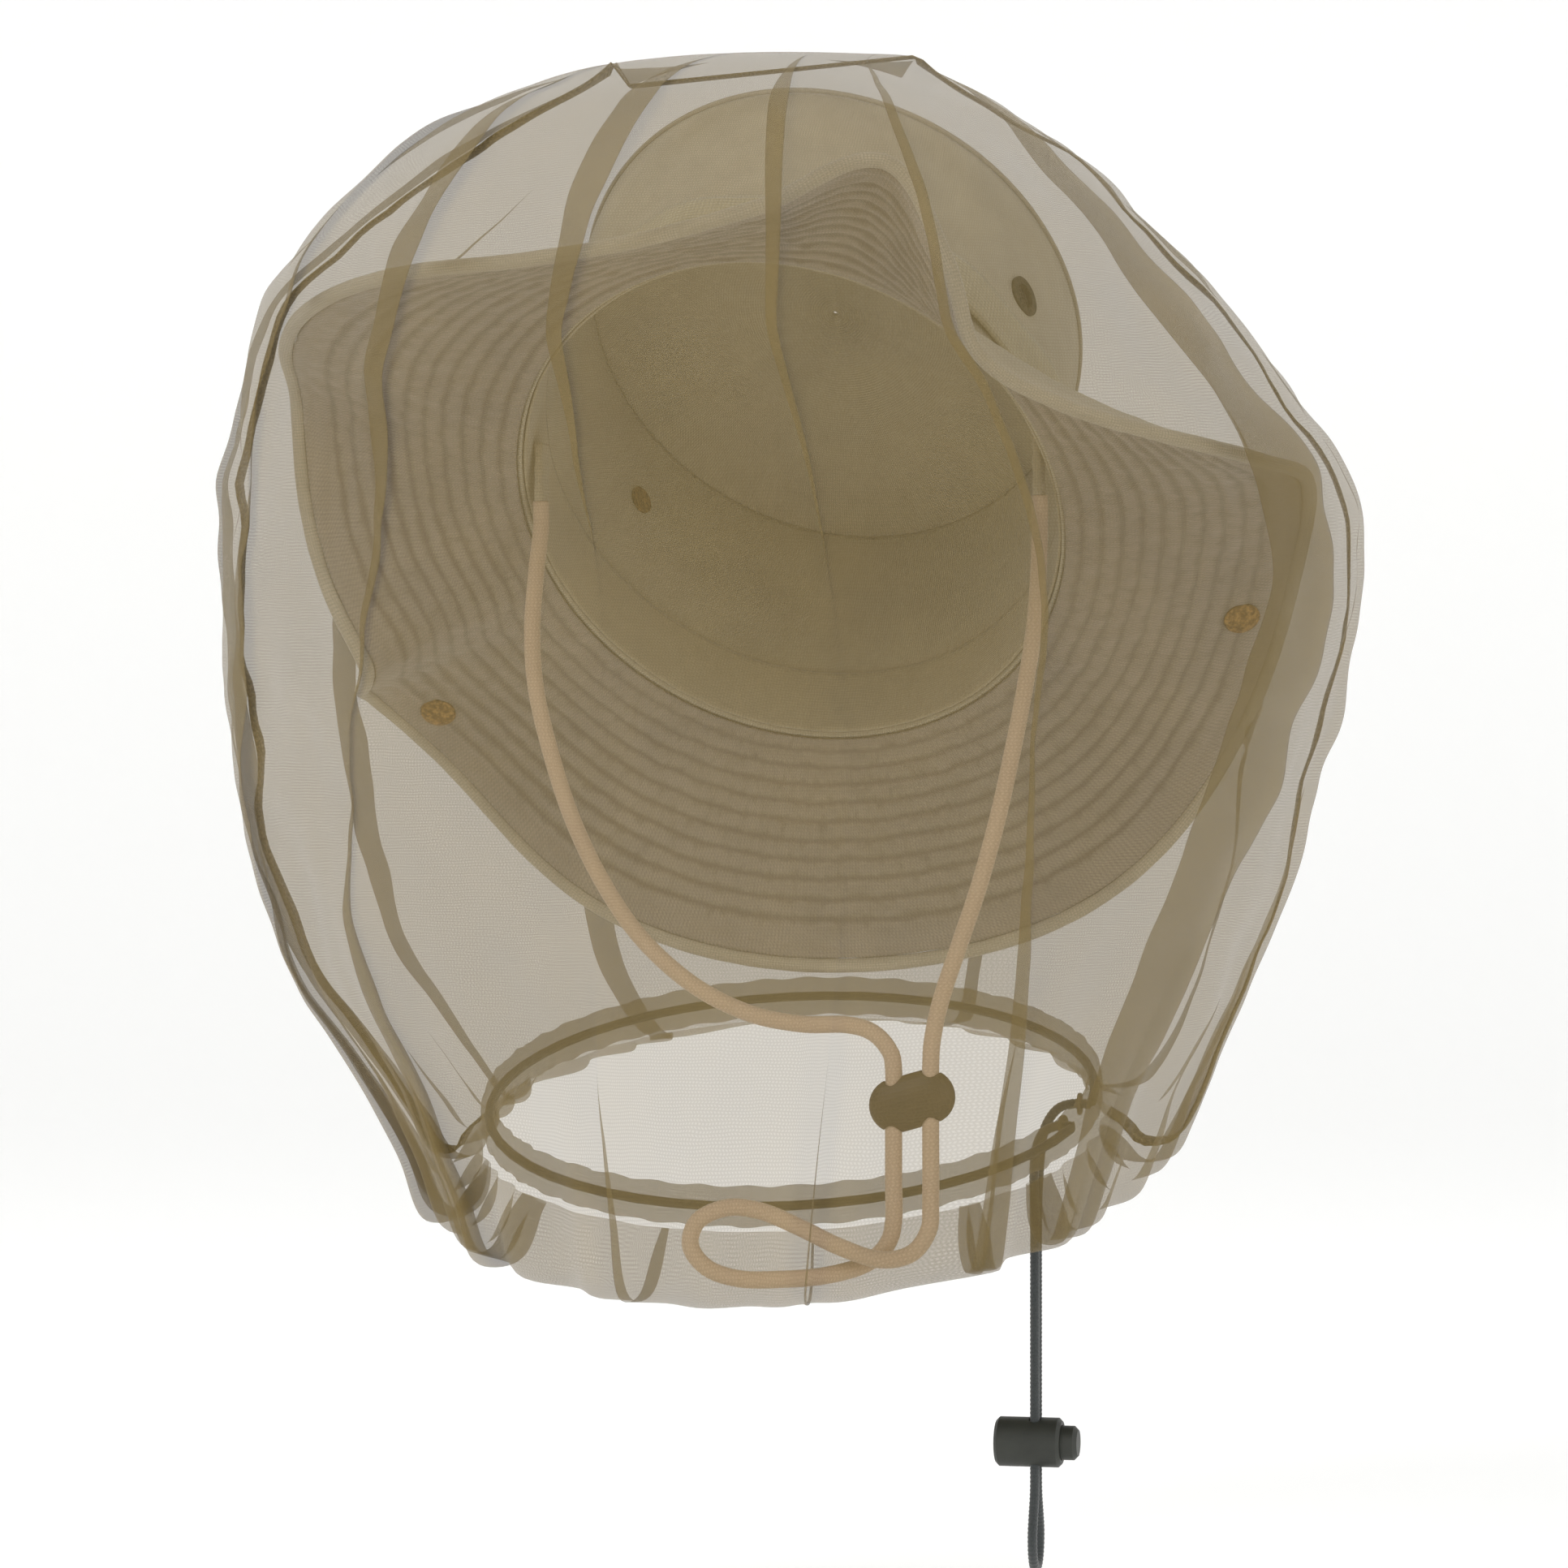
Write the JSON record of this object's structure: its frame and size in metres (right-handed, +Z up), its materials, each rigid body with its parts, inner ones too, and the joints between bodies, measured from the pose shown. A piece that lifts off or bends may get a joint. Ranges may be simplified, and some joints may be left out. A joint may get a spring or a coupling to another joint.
{
  "type": "beekeeping veil",
  "caption": "Fine see-through mesh head veil over a soft brimmed hat, with a neck hem, elastic drawcord and cord lock, chin cord and slider.",
  "frame": {"origin": "middle of the hat's mouth, at the sweatband, where the wearer's head holds it", "axes": "+Z up as worn, -Y the way the wearer faces, +X the wearer's left; the hat is tipped back about X"},
  "size_m": [0.3415, 0.308, 0.4582],
  "materials": {
    "hat_cloth": "khaki cotton twill",
    "brim_lining": "khaki cotton, quilted in rows",
    "binding": "rolled cotton edge",
    "sweatband": "cotton twill tape",
    "webbing": "woven cotton webbing",
    "vent_metal": "dull dark enamel",
    "vent_mesh": "fine wire screen",
    "bronze": "antique bronze, slightly worn",
    "cotton_cord": "braided cotton cord",
    "slider_plastic": "moulded, fine matt grain",
    "net": "fine knitted see-through mesh",
    "seam": "overlocked seam",
    "hem": "folded mesh channel",
    "elastic": "ribbed elastic cord",
    "thread": "worked thread",
    "lock_plastic": "moulded, matt",
    "spring_steel": "bright wire"
  },
  "bodies": {
    "veil": {"crown_side": "hat_cloth", "crown_top": "hat_cloth", "sweatband": "sweatband", "hat_band": "webbing", "vent_ring_left": "vent_metal", "vent_ring_right": "vent_metal", "vent_screen_left": "vent_mesh", "vent_screen_right": "vent_mesh", "brim_top": "hat_cloth", "brim_underside": "brim_lining", "brim_binding": "binding", "snap_cap_left": "bronze", "snap_cap_right": "bronze", "snap_socket_left": "bronze", "snap_socket_right": "bronze", "crown_stud_left": "bronze", "crown_stud_right": "bronze", "stud_post_left": "bronze", "stud_post_right": "bronze", "chin_cord_tab_left": "sweatband", "chin_cord_tab_right": "sweatband", "chin_cord": "cotton_cord", "net_front": "net", "net_back": "net", "net_seam": "seam", "neck_hem": "hem", "drawcord_in_hem": "elastic", "hem_eyelet_front": "thread", "hem_eyelet_back": "thread", "drawcord_loop": "elastic"},
    "slider": {"chin_cord_slider": "slider_plastic"},
    "cord_lock": {"cord_lock_barrel": "lock_plastic", "cord_lock_spring": "spring_steel"},
    "lock_plunger": {"cord_lock_plunger": "lock_plastic"}
  },
  "joints": [
    {"name": "slider_slide", "type": "slide", "parent": "veil", "child": "slider", "axis": [0, 0, 1], "range_m": [-0.022, 0]},
    {"name": "lock_slide", "type": "slide", "parent": "veil", "child": "cord_lock", "axis": [0, 0, 1], "range_m": [0, 0.055]},
    {"name": "lock_press", "type": "slide", "parent": "cord_lock", "child": "lock_plunger", "axis": [-1, 0, 0], "range_m": [0, 0.004], "stiffness_N_per_m": 400, "springref_m": -0.003, "deforming": ["cord_lock_spring"]}
  ]
}
